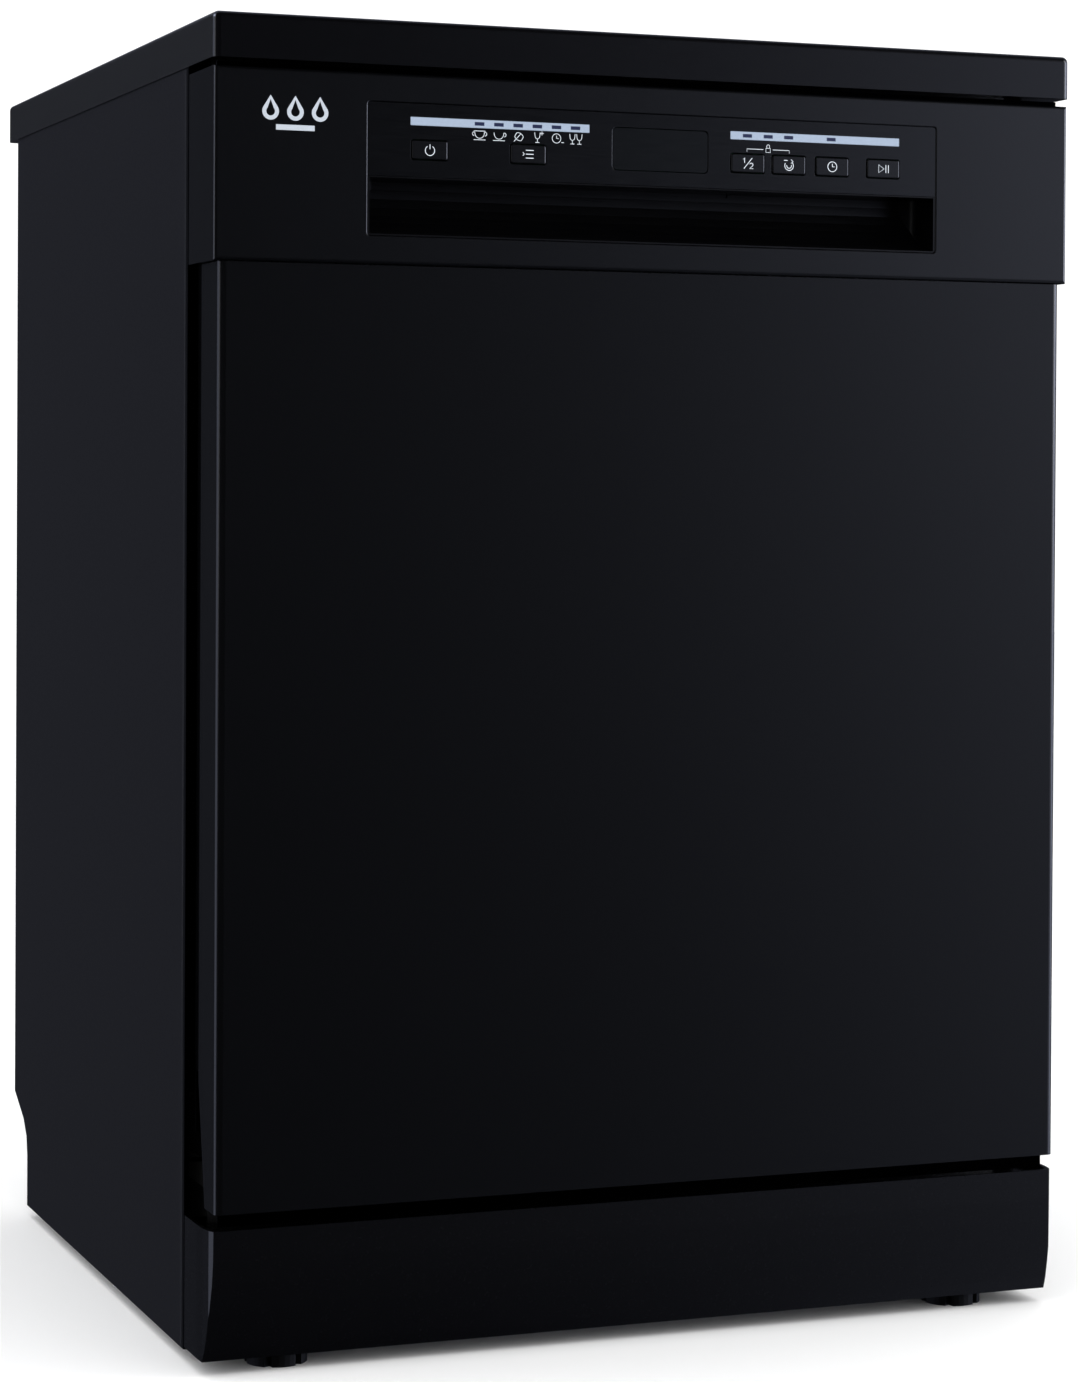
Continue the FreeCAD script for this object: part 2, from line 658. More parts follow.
def make_filter_plate():
    """The flat strainer over the sump, pierced all over, with round openings for the cup and the post."""
    low = s.tub_floor + 0.1
    plate = block("strainer_blank", (-100.0, 100.0), (s.sump_y - 88, s.sump_y + 88), (low, low + 1.2))
    plate = rounded("strainer_round", plate, 24, lambda e: along(e, "z"))
    through = (low - 1, low + 3)
    cup = rod("strainer_cup_hole", s.cup_radius + 0.6, "z", through, (0, s.cup_y))
    post = rod("strainer_post_hole", s.post_radius + 5.5, "z", through, (0, s.hub_y))
    pitch, hole_radius = 12.4, 2.6
    middle_y, cup_y, hub_y = float(s.sump_y), float(s.cup_y), float(s.hub_y)
    pierced = []
    for column in range(-7, 8):
        for line in range(-6, 7):
            x, y = column * pitch, line * pitch
            near_cup = math.hypot(x, y + middle_y - cup_y) < float(s.cup_radius) + 9
            near_post = math.hypot(x, y + middle_y - hub_y) < 22
            near_duct = abs(x) < 24 and y + middle_y > hub_y
            near_corner = abs(x) > 90 and abs(y) > 64 or abs(x) > 85 and abs(y) > 73
            if near_cup or near_post or near_duct or near_corner:
                continue
            hole = rod(f"strainer_hole_{column + 7}_{line + 6}", hole_radius, "z", through, (x, s.sump_y + y))
            pierced.append(hole)
    duct = block("strainer_duct_gap", (-21.5, 21.5), (s.hub_y, s.sump_y + 90), through)
    keep("filter_plate", cut("strainer_cut", plate, cup, post, duct, *pierced))


def make_filter_cup():
    """The round fine filter that twists into the strainer, with a finger bar across its top."""
    r = s.cup_radius
    deck = s.tub_floor + 1.5
    profile = [
        (0, 84), (r - 3, 84), (r - 3, deck), (r + 4, deck), (r + 4, deck + 1.8),
        (r - 6, deck + 1.8), (r - 6, 87), (0, 87)]
    cup = revolved_body("filter_cup_body", profile, (0, s.cup_y))
    bar = block("filter_cup_bar", (4 - r, r - 4), (s.cup_y - 2, s.cup_y + 2), (deck - 12, deck + 10))
    count, window_wide, window_low = 12, 5.0, 96.0
    slots = []
    for i in range(count):
        turn = Rotation(Vector(0, 0, 1), 360 * (i + 0.5) / count)
        window = doc.addObject("Part::Box", f"filter_cup_window_{i}")
        tie(window, "Length", r + 1)
        tie(window, "Width", window_wide)
        tie(window, "Height", deck - 8 - window_low)
        centre = Vector(0, float(s.cup_y), window_low)
        window.Placement = Placement(centre - turn.multVec(Vector(0, window_wide / 2, 0)), turn)
        slots.append(window)
    core = rod("filter_cup_core", r - 6.5, "z", (90.0, deck), (0, s.cup_y))
    windows = cut("filter_cup_rings", join("filter_cup_windows", *slots), core)
    keep("filter_cup", join("filter_cup_joined", cut("filter_cup_cut", cup, windows), bar))


def spray_arm(name, low, hub, bore):
    """A tapering paddle with jets along it and a hub that turns on a post."""
    reach, high = s.arm_reach, low + s.arm_thick
    quarter = [(reach, 9), (reach - 8, 14), (60, 19)]
    upper = [*quarter, (0, 27), *((-x, y) for x, y in reversed(quarter))]
    outline = [(x, y + s.hub_y) for x, y in upper + [(-x, -y) for x, y in upper]]
    blade = prism(f"{name}_blade", "z", outline, low, high)
    top = float(high)
    crowned = rounded(f"{name}_crown", blade, 4.0, lambda e: abs(e.BoundBox.ZMin - top) < 0.01)
    body = rod(f"{name}_hub", 19.0, "z", hub, (0, s.hub_y))
    jets = []
    for i, (x, y) in enumerate(((52, 6), (92, -5), (128, 6), (160, -6), (190, 0))):
        for side, sign in SIDES:
            at = (sign * x, s.hub_y + sign * y)
            jets.append(rod(f"{name}_jet_{side}_{i}", 1.8, "z", (high - 3, high + 2), at))
    hole = rod(f"{name}_bore", s.post_radius + s.post_play, "z", bore, (0, s.hub_y))
    keep(name, cut(f"{name}_cut", join(f"{name}_solid", crowned, body), hole, *jets))


def make_spray_arms():
    """The lower arm on the duct's post and the upper arm under the upper rack's pipe."""
    low = s.arm_low
    spray_arm("lower_spray_arm", low, (low - 5, low + s.arm_thick + 4), (low - 6, low + s.arm_thick + 1))
    low = s.upper_arm_low
    spray_arm("upper_spray_arm", low, (low - 2, low + s.arm_thick + 2), (low + 3, low + 20))


def make_feed_pipe():
    """The duct along the tub's floor and up its back that feeds both spray arms."""
    floor = s.tub_floor + 0.1
    back = TUB_REAR - s.tub_wall - 1
    post = rod("feed_post", s.post_radius, "z", (floor, s.arm_low + s.arm_thick), (0, s.hub_y))
    collar = rod("feed_collar", 14.0, "z", (floor, floor + 12), (0, s.hub_y))
    duct = block("feed_duct", (-20.0, 20.0), (s.hub_y, back), (floor, floor + 12))
    riser = block("feed_riser", (-20.0, 20.0), (back - 12, back), (floor, s.upper_arm_low + 44))
    nozzle = rod("feed_nozzle", 10.0, "y", (back - 24, back - 6), (0, s.upper_arm_low + 30))
    solid = join("feed_joined", post, collar, duct, riser, nozzle)
    bore = rod("feed_post_bore", 5.0, "z", (floor - 1, s.arm_low + s.arm_thick + 1), (0, s.hub_y))
    mouth = rod("feed_nozzle_bore", 7.0, "y", (back - 25, back - 4), (0, s.upper_arm_low + 30))
    keep("spray_feed_pipe", cut("feed_cut", solid, bore, mouth))


def make_pumps():
    """The wash pump and its motor, and the drain pump with the pipe to its outlet at the back."""
    at = (s.sump_y, WASH_PUMP_Z)
    inlet, volute_end, motor_end = 101.0, 132.0, 222.0
    fin_pitch, fin_wide = 12.0, 3.0
    motor = [
        rod("pump_volute", 44.0, "x", (inlet, volute_end), at),
        rod("pump_motor", 38.0, "x", (volute_end, motor_end), at),
        rod("pump_cap", 16.0, "x", (motor_end, motor_end + 10), at),
        block("pump_outlet", (inlet + 3, volute_end - 4), (s.sump_y + 30, s.sump_y + 62), (60.0, 84.0)),
    ]
    for i in range(7):
        start = volute_end + 8 + fin_pitch * i
        motor.append(rod(f"pump_fin_{i}", 40.5, "x", (start, start + fin_wide), at))
    keep("circulation_pump", join("circulation_pump_joined", *motor))

    x, z = DRAIN_AT
    at = (s.sump_y, DRAIN_PUMP_Z)
    volute_end, inlet = -146.0, -111.0
    drain = [
        rod("drain_volute", 24.0, "x", (volute_end, inlet), at),
        rod("drain_motor", 20.0, "x", (volute_end - 44, volute_end), at),
        block("drain_elbow", (x - 11, inlet - 9), (s.sump_y - 40, s.sump_y - 18), (z - 9, z + 9)),
        rod("drain_pipe", 10.0, "y", (s.sump_y - 32, BASE_REAR + 34), DRAIN_AT),
    ]
    bore = rod("drain_bore", 7.5, "y", (s.sump_y - 20, BASE_REAR + 35), DRAIN_AT)
    keep("drain_pump", cut("drain_cut", join("drain_joined", *drain), bore))


def make_softener():
    """The water softener with its salt store, whose mouth opens in the tub's floor."""
    r = s.salt_radius
    low, high = 110.0, 136.0
    top = s.tub_floor - s.tub_wall - 0.1
    at = (s.salt_x, s.salt_y)
    tank = block("softener_tank", (-262.0, -118.0), (0.0, 190.0), (low, high))
    store = block("softener_store", (-226.0, -132.0), (s.salt_y - 2, 10.0), (low, high))
    neck = rod("softener_neck", r - 4, "z", (low - 4, s.tub_floor + 4), at)
    collar = rod("softener_collar", r + 1, "z", (high - 2, top), at)
    mouth = rod("softener_mouth", r - 8, "z", (low, s.tub_floor + 5), at)
    keep("water_softener", cut("softener_cut", join("softener_joined", tank, store, neck, collar), mouth))


def make_salt_cap():
    """The screw cap of the salt store, with a ribbed skirt and a finger bar."""
    r = s.salt_radius
    x, y = s.salt_x, s.salt_y
    low = s.tub_floor + 4.3
    profile = [(0, low), (r - 2, low), (r - 2, low + 6), (r - 5, low + 8), (0, low + 8)]
    cap = revolved_body("salt_cap_body", profile, (x, y))
    bar = block("salt_cap_bar", (x - r + 8, x + r - 8), (y - 3, y + 3), (low + 7, low + 12))
    plug = rod("salt_cap_plug", r - 8.4, "z", (low - 14, low + 1), (x, y))
    keep("salt_cap", join("salt_cap_joined", cap, bar, plug))


def make_rear_fittings():
    """The inlet valve with its hose thread, and the gland that the mains lead leaves through."""
    x, z = INLET_AT
    thread_low = BASE_REAR + 2
    valve = [
        block("valve_body", (x - 20, x + 20), (BASE_REAR - 44, BASE_REAR - 4), (z - 18, z + 20)),
        rod("valve_neck", 12.2, "y", (BASE_REAR - 5, thread_low + 1), INLET_AT),
        rod("valve_thread", 13.2, "y", (thread_low, thread_low + 25), INLET_AT),
        rod("valve_coil", 14.0, "z", (z + 18, z + 50), (x, BASE_REAR - 24)),
    ]
    bore = rod("valve_bore", 8.5, "y", (BASE_REAR - 2, thread_low + 26), INLET_AT)
    keep("inlet_valve", cut("valve_cut", join("valve_joined", *valve), bore))

    gland = join(
        "gland_joined",
        rod("gland_flange", 11.0, "y", (BASE_REAR + 0.1, BASE_REAR + 4), GLAND_AT),
        rod("gland_stem", 7.4, "y", (BASE_REAR - 8, BASE_REAR + 12), GLAND_AT))
    bore = rod("gland_bore", 3.8, "y", (BASE_REAR - 9, BASE_REAR + 13), GLAND_AT)
    keep("cable_gland", cut("gland_cut", gland, bore))


# ---------------------------------------------------------------- door

def make_door_outer_panel():
    """The outer sheet of the door, folded back at its sides and bottom, with an apron below."""
    half = s.door_half
    t = s.sheet_thick
    skin = padded_body(
        "door_skin_body", "XY_Plane", s.door_low,
        rectangle((-half, half), (DOOR_FRONT, DOOR_BACK)), DOOR_TOP - s.door_low)
    front = float(DOOR_FRONT)
    body_fillet(skin, s.door_round, lambda e: along(e, "z") and abs(middle(e).y - front) < 0.1)
    hollow = block(
        "skin_hollow", (-half + t, half - t), (DOOR_FRONT + t, DOOR_BACK + 1), (s.door_low + t, DOOR_TOP + 1))
    hollow = rounded(
        "skin_hollow_round", hollow, s.door_round - t,
        lambda e: along(e, "z") and abs(middle(e).y - front - float(t)) < 0.1)
    taper = prism(
        "skin_taper", "x",
        [(DOOR_BACK + 1, s.taper_high), (DOOR_BACK - 15, s.door_low + 2), (DOOR_BACK - 15, s.door_low - 2),
         (DOOR_BACK + 1, s.door_low - 2)], -half - 1, half + 1)
    notches = [
        block(f"skin_notch_{side}", both_ways(s.hinge_arm_in - 5, half - t, sign),
              (DOOR_FRONT + 6, DOOR_BACK + 1), (s.door_low - 1, s.door_low + t + 1))
        for side, sign in SIDES
    ]
    apron = block("skin_apron", (4.5 - half, half - 4.5), (DOOR_FRONT + 10, DOOR_FRONT + 11),
                  (s.door_low - 9.6, s.door_low + t / 2))
    keep("door_outer_panel", join("skin_joined", cut("skin_cut", skin, hollow, taper, *notches), apron))


def make_door_liner():
    """The stainless inner face of the door: a flange round a raised pan, with a rim at its sides."""
    half = s.liner_half
    low, high = s.door_low + 8, FASCIA_TOP - 4
    back = TUB_FRONT - 0.5
    flange = block("liner_flange", (-half, half), (back - 3, back), (low, high))
    pan = block("liner_pan", (-s.liner_step, s.liner_step), (back - 3, LINER_BACK), (s.liner_low, s.liner_high))
    pan = rounded("liner_pan_round", pan, 20, lambda e: along(e, "y"))
    rims = [
        block(f"liner_rim_{side}", both_ways(half - 1.5, half, sign), (back - 20, back), (s.taper_high, high))
        for side, sign in SIDES
    ]
    t = 1.5
    hollow = block(
        "liner_hollow", (-s.liner_step + t, s.liner_step - t), (back - 4, LINER_BACK - t),
        (s.liner_low + t, s.liner_high - t))
    hollow = rounded("liner_hollow_round", hollow, 18.5, lambda e: along(e, "y"))
    thin = block("liner_thin", (-half + 14, half - 14), (back - 4, back - 1.5), (low + 14, high - 4))
    notches = [
        block(f"liner_notch_{side}", both_ways(s.hinge_arm_in - 5, half + 1, sign), (back - 4, back + 1),
              (low - 1, s.hinge_high + 26))
        for side, sign in SIDES
    ]
    mouth = block("liner_mouth", (-18.0, 18.0), (back - 5, back + 1), (STRIKE_Z - 7, STRIKE_Z + 7))
    hole = block(
        "liner_dispenser_hole", (DISPENSER_X[0] + 4, DISPENSER_X[1] - 4), (back - 10, LINER_BACK + 1),
        (DISPENSER_Z[0] + 4, DISPENSER_Z[1] - 4))
    solid = join("liner_blank", flange, pan, *rims)
    keep("door_liner", cut("liner_cut", solid, hollow, thin, mouth, hole, *notches))


def make_fascia():
    """The moulded front at the top of the door, open at the back, with a rib under the worktop."""
    half = s.overall_wide / 2 - 0.8
    w = s.fascia_wall
    body = padded_body(
        "fascia_body", "XY_Plane", FASCIA_LOW,
        rectangle((-half, half), (FASCIA_FRONT, FASCIA_BACK)), FASCIA_TOP - FASCIA_LOW)
    front = float(FASCIA_FRONT)
    body_fillet(body, 2.2, lambda e: abs(middle(e).y - front) < 0.1)
    hollow = block("fascia_hollow", (-half + w, half - w), (FASCIA_FRONT + w, FASCIA_BACK + 1),
                   (FASCIA_LOW + w, FASCIA_TOP - w))
    skirt = block("fascia_skirt", (-s.door_half + 1.4, s.door_half - 1.4), (DOOR_FRONT + 1.4, FASCIA_BACK + 1),
                  (FASCIA_LOW - 1, FASCIA_LOW + w + 1))
    opening = block("fascia_opening", (-s.insert_half, s.insert_half), (FASCIA_FRONT - 1, FASCIA_FRONT + w + 1),
                    (INSERT_LOW, INSERT_TOP))
    opening = rounded("fascia_opening_round", opening, s.insert_corner, lambda e: along(e, "y"))
    rib = block("fascia_rib", (4 - half, half - 4), (FASCIA_FRONT + 9, FASCIA_FRONT + 11),
                (FASCIA_TOP - w / 2, FASCIA_TOP + 3.6))
    whole = join("fascia_ribbed", cut("fascia_cut", body, hollow, skirt, opening), rib)
    limit = float(s.insert_half) + 1
    keep("fascia", rounded(
        "fascia_opening_edge", whole, 0.7,
        lambda e: e.BoundBox.YMax < front + 0.01 and e.BoundBox.XMin > -limit and e.BoundBox.XMax < limit
        and e.BoundBox.ZMin > float(INSERT_LOW) - 1 and e.BoundBox.ZMax < float(INSERT_TOP) + 1))


def make_control_strip():
    """The glossy strip that the buttons, the display and the indicators sit in."""
    half = s.insert_half - s.insert_gap
    low, high = STRIP_LOW + 0.15, INSERT_TOP - s.insert_gap
    strip = padded_body(
        "strip_body", "XZ_Plane", -INSERT_FRONT, rectangle((-half, half), (low, high)), 3.0, reverse=True)
    high_edge = float(high) - 0.1
    body_fillet(strip, s.insert_corner - s.insert_gap, lambda e: along(e, "y") and middle(e).z > high_edge)
    through = (INSERT_FRONT - 1, INSERT_FRONT + 4)
    wide, tall = s.button_wide / 2 + s.button_gap, s.button_tall / 2 + s.button_gap
    framed = [display_block("display_hole", 0.4, *through)]
    for name, x in BUTTONS.items():
        hole = block(f"{name}_hole", (x - wide, x + wide), through, (BUTTON_Z - tall, BUTTON_Z + tall))
        framed.append(rounded(f"{name}_hole_round", hole, 1.6, lambda e: along(e, "y")))
    front = float(INSERT_FRONT) + 0.01
    eased = rounded(
        "strip_hole_edges", cut("strip_framed", strip, *framed), 0.3,
        lambda e: e.BoundBox.YMax < front and e.BoundBox.XLength < 80 and e.BoundBox.ZMin > float(low) + 1
        and e.BoundBox.ZMax < high_edge - 1)
    sunk = []
    for i, (a, b) in enumerate(BAR_SPANS):
        sunk.append(block(f"bar_hole_{i}", (a - 0.1, b + 0.1), (INSERT_FRONT - 1, INSERT_FRONT + 1.2),
                          (WINDOW_Z - 2.7, WINDOW_Z + 2.7)))
    for i, x in enumerate(WINDOWS):
        sunk.append(window_block(f"window_hole_{i}", x, 0, INSERT_FRONT, INSERT_FRONT + 4))
    keep("control_strip", cut("strip_cut", eased, *sunk))


def window_block(name, x, grow, near, far):
    """The outline of one lamp's small window, grown a little, between two depths."""
    wide, tall = s.window_wide / 2 + grow, s.window_tall / 2 + grow
    return block(name, (x - wide, x + wide), (near, far), (WINDOW_Z - tall, WINDOW_Z + tall))


def display_block(name, grow, near, far):
    """The display's outline, grown a little, between two depths."""
    z = INSERT_LOW + s.display_high
    wide, tall = s.display_wide / 2 + grow, s.display_tall / 2 + grow
    made = block(name, (-wide, wide), (near, far), (z - tall, z + tall))
    return rounded(f"{name}_round", made, 3.0, lambda e: along(e, "y"))


def make_display_and_indicators():
    """The display's window, and the light bars with the small windows over the lamps."""
    keep("display_window", display_block("display", 0, INSERT_FRONT + 0.2, INSERT_FRONT + 3))
    bars = []
    bar_y, bar_z = (INSERT_FRONT + 0.1, INSERT_FRONT + 1.1), (WINDOW_Z - 2.6, WINDOW_Z + 2.6)
    for i, (a, b) in enumerate(BAR_SPANS):
        bar = block(f"bar_{i}", (a, b), bar_y, bar_z)
        gaps = [
            window_block(f"bar_{i}_gap_{k}", x, 0.05, INSERT_FRONT - 1, INSERT_FRONT + 2)
            for k, x in enumerate(WINDOWS) if a < x < b
        ]
        bars.append(cut(f"bar_{i}_cut", bar, *gaps))
    keep("light_bars", group("light_bars_group", *bars))
    lenses = [
        window_block(f"lens_{i}", x, -0.05, INSERT_FRONT + 0.15, INSERT_FRONT + 2.9)
        for i, x in enumerate(WINDOWS)
    ]
    keep("indicator_lenses", group("lenses_group", *lenses))


def make_buttons():
    """Six push-button caps that stand a little proud of the strip and run back to their switches."""
    wide, tall = s.button_wide / 2, s.button_tall / 2
    near = INSERT_FRONT - s.button_proud
    face = float(near) + 0.01
    for name, x in BUTTONS.items():
        outline = rectangle((x - wide, x + wide), (BUTTON_Z - tall, BUTTON_Z + tall))
        cap = padded_body(f"{name}_body", "XZ_Plane", -near, outline, s.button_deep, reverse=True)
        body_fillet(cap, 1.2, lambda e: along(e, "y"), "corners")
        body_fillet(cap, 0.7, lambda e: e.BoundBox.YMax < face, "face")
        keep(name, cap)


def pocket_section(near, wall, ceiling_wall, floor):
    """The grip's section, grown by its walls: a flat ceiling and a back wall that bends down and forward."""
    front, deep = float(INSERT_FRONT) + 3.5, float(INSERT_FRONT + s.pocket_deep) - 3
    ceiling, bend = float(STRIP_LOW) - 1, 5.0
    steps = 8
    curve = []
    for i in range(steps + 1):
        a = math.radians(90 * i / steps)
        y = front + (deep - front + wall) * math.cos(a)
        z = ceiling - bend - (ceiling - bend - floor + wall) * math.sin(a)
        curve.append((y, z))
    high = ceiling + ceiling_wall
    return [(near, high), (deep + wall, high), *curve, (near, curve[-1][1])]


def make_handle_pocket():
    """The grip recess under the strip, round at its back corners, with a slot for the paddle."""
    half = s.insert_half - s.insert_gap
    wall, side_wall = 1.8, 1.2
    low, high = INSERT_LOW + s.insert_gap, STRIP_LOW - 0.15
    floor = float(INSERT_LOW) + 1.2
    plate = block("pocket_plate", (-half, half), (INSERT_FRONT, INSERT_FRONT + 2.5), (low, high))
    low_edge = float(low) + 0.1
    plate = rounded(
        "pocket_plate_round", plate, s.insert_corner - s.insert_gap,
        lambda e: along(e, "y") and middle(e).z < low_edge)
    near = float(INSERT_FRONT)
    outer = prism("pocket_outer", "x", pocket_section(near + 2, wall, 0.85, floor + 0.8), -half, half)
    cavity_x = (side_wall - half, half - side_wall)
    run = prism("pocket_run", "x", pocket_section(near - 1, 0, 0, floor), *cavity_x)
    deep = INSERT_FRONT + s.pocket_deep - 3
    back_edge = float(deep) - 0.1
    plan = rounded(
        "pocket_plan_round", block("pocket_plan", cavity_x, (near - 1, deep), (low - 1, high + 1)),
        s.pocket_round, lambda e: along(e, "z") and middle(e).y > back_edge)
    cavity = doc.addObject("Part::MultiCommon", "pocket_cavity")
    cavity.Shapes = [run, plan]
    slot = block("pocket_slot", (-s.paddle_half - 0.5, s.paddle_half + 0.5), PADDLE_SLOT_Y,
                 (STRIP_LOW - 3, STRIP_LOW + 2))
    keep("handle_pocket", cut("pocket_cut", join("pocket_blank", plate, outer), cavity, slot))


def make_latch():
    """The door lock: its housing, the paddle that releases it and the strike on the crossbar."""
    back = TUB_FRONT - 0.5
    half = 36.0
    ear_in, ear_out = 48.0, 52.0
    pin_y, pin_z = PADDLE_PIN
    bridge_z = (STRIP_LOW + 16, STRIP_LOW + 22)
    housing = block(
        "latch_block", (-half, half), (INSERT_FRONT + 26, back - 3.4), (STRIP_LOW + 13, FASCIA_TOP - 5))
    mouth = block("latch_mouth", (-14.0, 14.0), (back - 16, back), (STRIKE_Z - 5.5, STRIKE_Z + 5))
    bridge = block("latch_bridge", (-ear_out, ear_out), (pin_y + 1, pin_y + 6), bridge_z)
    frame = [housing, bridge]
    for side, sign in SIDES:
        ear_x = both_ways(ear_in, ear_out, sign)
        pin_x = both_ways(ear_in - 4, ear_out - 2, sign)
        frame.append(block(f"latch_ear_{side}", ear_x, (pin_y - 4, pin_y + 6), (pin_z - 3.2, bridge_z[1])))
        frame.append(rod(f"latch_pin_{side}", 1.5, "x", pin_x, PADDLE_PIN))
    keep("latch_housing", cut("latch_cut", join("latch_blank", *frame), mouth))

    near, far = PADDLE_SLOT_Y
    web_x = (0.4 - ear_in, ear_in - 0.4)
    blade = block("paddle_blade", (-s.paddle_half, s.paddle_half), (near + 0.9, far - 1.2),
                  (STRIP_LOW - 0.95, STRIP_LOW + 0.55))
    web = prism(
        "paddle_web", "x",
        [(far - 3.2, STRIP_LOW - 0.85), (far - 1.2, STRIP_LOW - 0.85), (far - 1.2, STRIP_LOW + 0.5),
         (pin_y + 2, pin_z), (pin_y - 2.4, pin_z + 1), (far - 3.2, STRIP_LOW + 2)], *web_x)
    knuckle = rod("paddle_knuckle", 3.2, "x", web_x, PADDLE_PIN)
    bores = [
        rod(f"paddle_bore_{side}", 1.56, "x", both_ways(ear_in - 5, ear_in, sign), PADDLE_PIN)
        for side, sign in SIDES
    ]
    keep("latch_paddle", cut("paddle_cut", join("paddle_blank", blade, web, knuckle), *bores))

    bar_y = TUB_FRONT + 4
    low = STRIKE_Z - 2.5
    plate = block("strike_plate", (-22.0, 22.0), (bar_y - 1.6, bar_y - 0.1), (low, STRIKE_Z + 8))
    tongue = block("strike_tongue", (-9.0, 9.0), (back - 13, bar_y - 1), (low, STRIKE_Z + 2))
    window = block("strike_window", (-5.0, 5.0), (back - 10, back - 4), (STRIKE_Z - 4, STRIKE_Z + 4))
    keep("door_strike", cut("strike_cut", join("strike_blank", plate, tongue), window))


def make_control_board():
    """The circuit board behind the strip, with one switch behind each button."""
    y = INSERT_FRONT + 9.5
    z = BUTTON_Z
    board = block("board_plate", (-180.0, 180.0), (y, y + 1.6), (z - 9, INSERT_TOP - 2))
    extras = [
        block(f"board_switch_{name}", (x - 3, x + 3), (y - 1.8, y + 0.5), (z - 3, z + 3))
        for name, x in BUTTONS.items()
    ]
    extras.append(block("board_chip", (-40.0, 10.0), (y + 1, y + 9), (z - 4, z + 18)))
    extras.append(block("board_power", (60.0, 150.0), (y + 1, y + 14), (z - 5, z + 16)))
    keep("control_board", join("board_joined", board, *extras))


def make_dispenser():
    """The detergent box in the door's inner face, its sprung lid and the rinse aid's cap."""
    x0, x1 = DISPENSER_X
    z0, z1 = DISPENSER_Z
    face = LINER_BACK + 2
    lid_left, lid_right = LID_X
    cup_x = (lid_left + 6, lid_right - 6)
    pin_y, pin_z = LID_PIN
    plate = block("dispenser_plate", (x0, x1), (LINER_BACK + 0.1, face), (z0, z1))
    plate = rounded("dispenser_plate_round", plate, 9, lambda e: along(e, "y"))
    box = block("dispenser_box", (x0 + 5, x1 - 5), (LINER_BACK - 27, face - 1), (z0 + 5, z1 - 5))
    pieces = [plate, box]
    for side, x in (("left", lid_left - 4.3), ("right", lid_right + 0.3)):
        pieces.append(block(f"lid_lug_{side}", (x, x + 4), (face - 1, pin_y + 2.6), (pin_z - 3, pin_z + 3)))
    pieces.append(rod("lid_pin_left", 1.4, "x", (lid_left - 1, lid_left + 9), LID_PIN))
    pieces.append(rod("lid_pin_right", 1.4, "x", (lid_right - 9, lid_right + 1), LID_PIN))
    cup = block("dispenser_cup", cup_x, (LINER_BACK - 24, face + 1), (z0 + 16, z1 - 14))
    tank = rod("dispenser_tank_mouth", 13.0, "y", (LINER_BACK - 20, face + 1), CAP_AT)
    keep("detergent_dispenser", cut("dispenser_cut", join("dispenser_blank", *pieces), cup, tank))

    lid = block("lid_plate", LID_X, (face + 0.4, face + 3.4), (pin_z + 1.5, z1 - 8))
    above = float(pin_z) + 20
    lid = rounded("lid_round", lid, 5, lambda e: along(e, "y") and middle(e).z > above)
    knuckle = rod("lid_knuckle", 2.6, "x", LID_X, LID_PIN)
    thumb = block("lid_thumb", (lid_left + 34, lid_right - 34), (face + 3, face + 6), (z1 - 18, z1 - 14))
    bores = [
        rod("lid_bore_left", 1.45, "x", (lid_left - 1, lid_left + 10), LID_PIN),
        rod("lid_bore_right", 1.45, "x", (lid_right - 10, lid_right + 1), LID_PIN),
    ]
    keep("detergent_lid", cut("lid_cut", join("lid_blank", lid, knuckle, thumb), *bores))

    x, z = CAP_AT
    disc = rod("cap_disc", 17.0, "y", (face + 0.4, face + 4), CAP_AT)
    grip = block("cap_grip", (x - 12, x + 12), (face + 3, face + 9), (z - 2, z + 2))
    plug = rod("cap_plug", 12.6, "y", (face - 9, face + 1), CAP_AT)
    keep("rinse_aid_cap", join("cap_joined", disc, grip, plug))


def make_hinges():
    """Both hinges: a bracket with its pin on the base, an arm on the door and a balance spring."""
    brackets, arms, springs = [], [], []
    inner = s.base_half + 0.05
    arm_in = s.hinge_arm_in
    y, z = HINGE_Y, s.hinge_high
    outline = [
        (y - 8, z - 6), (y + 2, z - 12), (y + 80, z - 12), (y + 80, z + 4), (y + 8, z + 4), (y, z + 8),
        (y - 8, z + 6)]
    for side, sign in SIDES:
        plate = prism(f"bracket_{side}_plate", "x", outline, *both_ways(inner, inner + 2.4, sign))
        pin = rod(f"bracket_{side}_pin", s.pin_radius, "x", both_ways(inner + 1, inner + 7, sign), (y, z))
        brackets.append(join(f"bracket_{side}", plate, pin))
        x = both_ways(arm_in, arm_in + 3, sign)
        bar = block(f"arm_{side}_bar", x, (y - 10, y + 9), (z, z + 150))
        eye = rod(f"arm_{side}_eye", 9.5, "x", x, (y, z))
        foot = block(f"arm_{side}_foot", both_ways(arm_in - 18, arm_in + 1, sign),
                     (DOOR_FRONT + 3, DOOR_FRONT + 16), (z + 60, z + 150))
        hole = rod(f"arm_{side}_hole", s.pin_radius + s.pin_play, "x",
                   both_ways(arm_in - 2, arm_in + 5, sign), (y, z))
        arms.append(cut(f"arm_{side}", join(f"arm_{side}_blank", bar, eye, foot), hole))
        springs.append(coil_spring(sign))
    keep("hinge_brackets", group("hinge_brackets_group", *brackets))
    keep("hinge_arms", group("hinge_arms_group", *arms))
    spring_node = doc.addObject("Part::Feature", "door_springs_shape")
    spring_node.Shape = Part.makeCompound(springs)
    keep("door_springs", spring_node)


